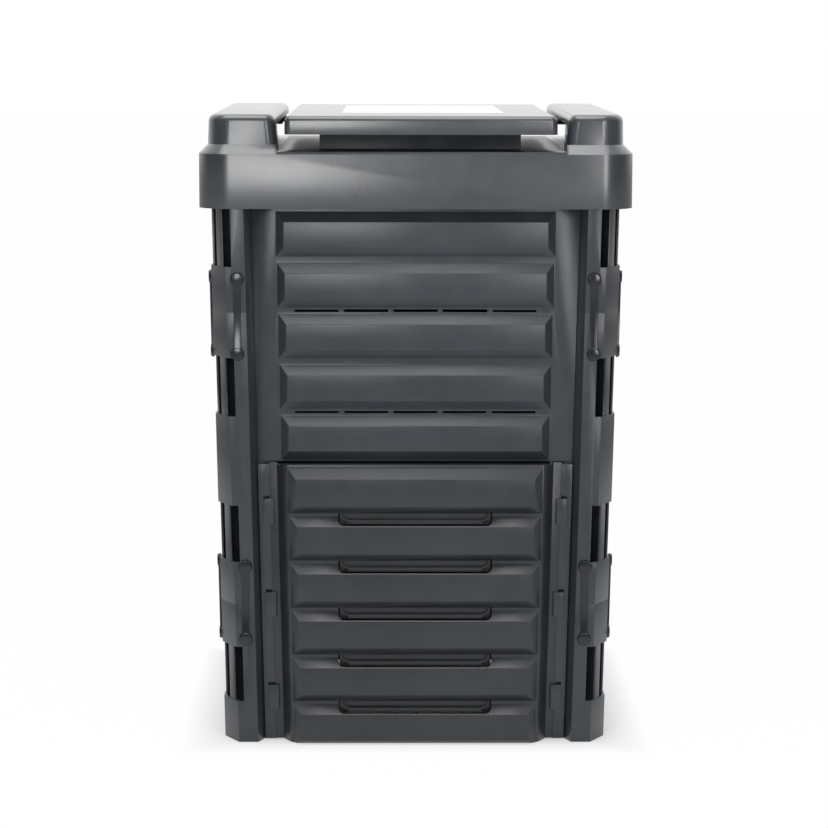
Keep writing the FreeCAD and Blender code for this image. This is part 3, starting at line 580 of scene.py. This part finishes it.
def lip_line(sill):
    """The line of a lip: down one side, round the corner, along the sill and up again."""
    line = [(-GRIP_HALF, sill + GRIP_HEAD)]
    quarter = range(0, 91, BEAD_STEP)
    for side, turns in ((-1, quarter), (1, reversed(quarter))):
        middle_x = side * (GRIP_HALF - GRIP_CORNER)
        middle_z = sill + LIP_RISE + GRIP_CORNER
        for turn in turns:
            angle = math.radians(turn)
            line.append((
                middle_x + side * GRIP_CORNER * math.cos(angle),
                middle_z - GRIP_CORNER * math.sin(angle)))
    line.append((GRIP_HALF, sill + GRIP_HEAD))
    return line


def lip_bead(name, sill):
    """A bead along the sill that turns up at both lower corners."""
    line = lip_line(sill)
    curve = bpy.data.curves.new(name, "CURVE")
    curve.dimensions = "3D"
    spline = curve.splines.new("POLY")
    spline.points.add(len(line) - 1)
    for point, (x, z) in zip(spline.points, line):
        point.co = (x * MM, -(half_width(z) + BEAD_OUT) * MM, z * MM, 1)
    curve.bevel_depth = BEAD_RADIUS * MM
    curve.bevel_resolution = 3
    curve.use_fill_caps = True
    bead = bpy.data.objects.new(name, curve)
    scene.collection.objects.link(bead)
    only_active(bead)
    bpy.ops.object.convert(target="MESH")
    bpy.ops.object.shade_smooth()
    bead = bpy.context.active_object
    bead.data.materials.append(door_plastic.material)
    return bead


print("points in a lip:", len(lip_line(0)))

# %% [markdown]
# The five grips lie one rib spacing apart, the apron behind the face of the door and the lip
# in front of it. Their linings are joined to the door, because on the real one they are the
# same moulding and slide with it.

# %% Line the grips
GRIPS = 5
TOP_SILL = 321.7
APRON_MARGIN = 3
APRON_FRONT, APRON_BACK = 2, 4.5
LIP_INSET = 9
LIP_FRONT, LIP_BACK = 6.2, 4.2

linings = []
for grip in range(GRIPS):
    sill = TOP_SILL - SEEN_PITCH * grip
    front = half_width(sill)
    apron_half = GRIP_HALF + APRON_MARGIN
    apron = slim_box(
        "apron", (-apron_half, -(front - APRON_FRONT), sill - APRON_MARGIN),
        (apron_half, -(front - APRON_BACK), sill + GRIP_HEAD), edge=0.3)
    wall_half = GRIP_HALF - LIP_INSET
    wall = slim_box(
        "lip_wall", (-wall_half, -(front + LIP_FRONT), sill - 1),
        (wall_half, -(front + LIP_BACK), sill + LIP_RISE))
    linings += [apron, wall, lip_bead("lip_bead", sill)]
door = moulded["front_door"]
only_active(door)
for lining in linings:
    lining.select_set(True)
bpy.ops.object.join()
print("door with lined grips:", len(door.data.polygons), "faces")

# %% [markdown]
# ## The lid
#
# The lid is one large glossy moulding, and its broad curves are what the eye sees first: the
# rim of the skirt, the soft step where each tower grows out of its shoulder, and the front
# edges of the towers. Those edges get wider radii than the rest. A bevel is held back by the
# shortest edge it meets, so corners that lie close together are merged away first.

# %% Round the lid
LID_MERGE = 1.2 * MM
FINE_RADIUS = 0.7 * MM
RIM_RADIUS = 6.0 * MM
TOWER_FOOT_RADIUS = 4.0 * MM
TOWER_FRONT_RADIUS = 2.0 * MM


def lid_radius(middle):
    """The radius of a lid edge, chosen by where its middle lies."""
    level = middle.z / MM
    reach = max(abs(middle.x), abs(middle.y)) / MM
    on_rim = 843 < level < 847 and reach > 285
    on_tower_foot = 856 < level < 860 and reach > 278
    on_tower_front = level > 880 and abs(middle.y) / MM > 270
    if on_rim:
        return RIM_RADIUS
    if on_tower_foot:
        return TOWER_FOOT_RADIUS
    if on_tower_front:
        return TOWER_FRONT_RADIUS
    return FINE_RADIUS


lid = merged_copy("lid_frame", LID_MERGE)
round_edges(lid, FINE_RADIUS, broad=lid_radius, segments=3)
stand_in(lid, "lid_frame")

# %% [markdown]
# ## Floor and light
#
# The photo is a studio shot on white. A wide pale floor glows, so that it and the world meet
# without a line, and it stays dark under the open foot of the bin. Its glow fades in just
# outside the foot, so a ring round the bin is painted grey: a painted soft shadow, on top of
# the real shade that the lamps leave there. To the gloss it is dark in front of the bin and
# beside it, and white behind, which gives black plastic its form: pale tops and dark fronts.

# %% Build the floor
FLOOR_SIZE = 60
FLOOR_DROP = 0.0005
DARK_UNDER, WHITE_FROM = 0.22, 0.34
FLOOR_GLOW = 0.985
GLOSS_FADE_FROM, GLOSS_FADE_TO = 0.5, 2.6
GLOSS_FADE = 0.86

bpy.ops.mesh.primitive_plane_add(size=FLOOR_SIZE, location=(0, 0, -FLOOR_DROP))
floor = bpy.context.active_object
floor.name = "studio_floor"
floor_finish = Finish("studio_floor")
floor_finish.feed("Base Color", (0.93, 0.93, 0.93, 1))
floor_finish.feed("Roughness", 0.9)
floor_finish.feed("Specular IOR Level", 0.1)
floor_place = floor_finish.node("ShaderNodeTexCoord", output="Object")
across = floor_finish.node("ShaderNodeSeparateXYZ", output="X", Vector=floor_place)
along = floor_finish.node("ShaderNodeSeparateXYZ", output="Y", Vector=floor_place)
# The glow fades in from DARK_UNDER to WHITE_FROM, so the floor just round the foot is painted
# greyer: a painted soft shadow round the bin.
glow_with_painted_shadow = floor_finish.node(
    "ShaderNodeMapRange", Value=abs(across).or_higher(abs(along)),
    From_Min=DARK_UNDER, From_Max=WHITE_FROM, To_Max=FLOOR_GLOW)
ahead = floor_finish.node(
    "ShaderNodeMapRange", Value=(0 - along).or_higher(abs(across)),
    From_Min=GLOSS_FADE_FROM, From_Max=GLOSS_FADE_TO, To_Max=GLOSS_FADE)
in_gloss = floor_finish.node("ShaderNodeLightPath", output="Is Glossy Ray")
shown = glow_with_painted_shadow * (1 - ahead * in_gloss)
print("floor glow:", FLOOR_GLOW)

# %% [markdown]
# Where the floor glows it is almost all glow, and under the bin it is the plain pale floor,
# which lies in the shade there. A backdrop that glows fully would light the bin from below.

# %% Mix the glow into the floor
glow = floor_finish.node("ShaderNodeEmission")
mixer = floor_finish.tree.nodes.new("ShaderNodeMixShader")
output = floor_finish.tree.nodes["Material Output"]
floor_finish.tree.links.new(shown.socket, mixer.inputs[0])
floor_finish.tree.links.new(floor_finish.shader.outputs[0], mixer.inputs[1])
floor_finish.tree.links.new(glow.socket, mixer.inputs[2])
floor_finish.tree.links.new(mixer.outputs[0], output.inputs["Surface"])
floor.data.materials.append(floor_finish.material)
print("floor:", floor.name)

# %% [markdown]
# The world is white to the camera. To the gloss it fades from dark in front of the bin to
# white behind it, by the world's own direction, and grows brighter overhead. Everything else
# gets a low, even light from it, and the lamps do the rest.

# %% Make the white room
ROOM_LEVEL = 0.28
OVERHEAD_LEVEL = 0.9
ROOM_GREYS = [(0.0, 0.06), (0.3, 0.06), (0.52, 0.08), (0.75, 0.9), (1.0, 1.0)]

world = bpy.data.worlds.new("studio_world")
world.use_nodes = True
scene.world = world
room = NodeTree(world.node_tree)
camera_ray = room.node("ShaderNodeLightPath", output="Is Camera Ray")
gloss_ray = room.node("ShaderNodeLightPath", output="Is Glossy Ray")
direction = room.node("ShaderNodeTexCoord", output="Generated")
depth = room.node("ShaderNodeSeparateXYZ", output="Y", Vector=direction)
up = room.node("ShaderNodeSeparateXYZ", output="Z", Vector=direction)
room_tone = room.ramp(
    depth * 0.5 + 0.5, [(position, (grey, grey, grey)) for position, grey in ROOM_GREYS])
overhead = up.or_higher(0) * OVERHEAD_LEVEL
seen_in_gloss = (room_tone + overhead) * gloss_ray
plain = (1 - gloss_ray) * ROOM_LEVEL
strength = camera_ray.or_higher(seen_in_gloss + plain)
background = room.tree.nodes["Background"]
background.inputs["Color"].default_value = (1, 1, 1, 1)
room.tree.links.new(strength.socket, background.inputs["Strength"])
print("room level:", ROOM_LEVEL)

# %% [markdown]
# Three soft lamps shape the bin. A small one near the upper left gives the skirt and the
# upper ribs their bright left half, a narrow one lights the right, and a broad one overhead
# picks out every upper bevel. The world alone would light the bin evenly, and black plastic
# would lose its form in it. The camera doesn't see the lamps.


# %% Light the bin
def soft_lamp(name, place, target, width, height, power):
    """An area lamp that points at a target."""
    data = bpy.data.lights.new(name, "AREA")
    data.shape = "RECTANGLE"
    data.size = width
    data.size_y = height
    data.energy = power
    lamp = bpy.data.objects.new(name, data)
    lamp.location = place
    aim = Vector(target) - Vector(place)
    lamp.rotation_euler = aim.to_track_quat("-Z", "Y").to_euler()
    lamp.visible_camera = False
    scene.collection.objects.link(lamp)
    print(name, power, "W")


soft_lamp(
    "key_lamp", place=(-0.32, -1.6, 0.86), target=(-0.17, -0.3, 0.78),
    width=0.36, height=0.5, power=5.5)
soft_lamp(
    "side_strip", place=(0.75, -2.0, 0.95), target=(0.22, -0.3, 0.8),
    width=0.26, height=1.0, power=9)
soft_lamp(
    "top_lamp", place=(-0.2, -0.7, 3.0), target=(0, 0, 0.8),
    width=2.0, height=2.0, power=48)
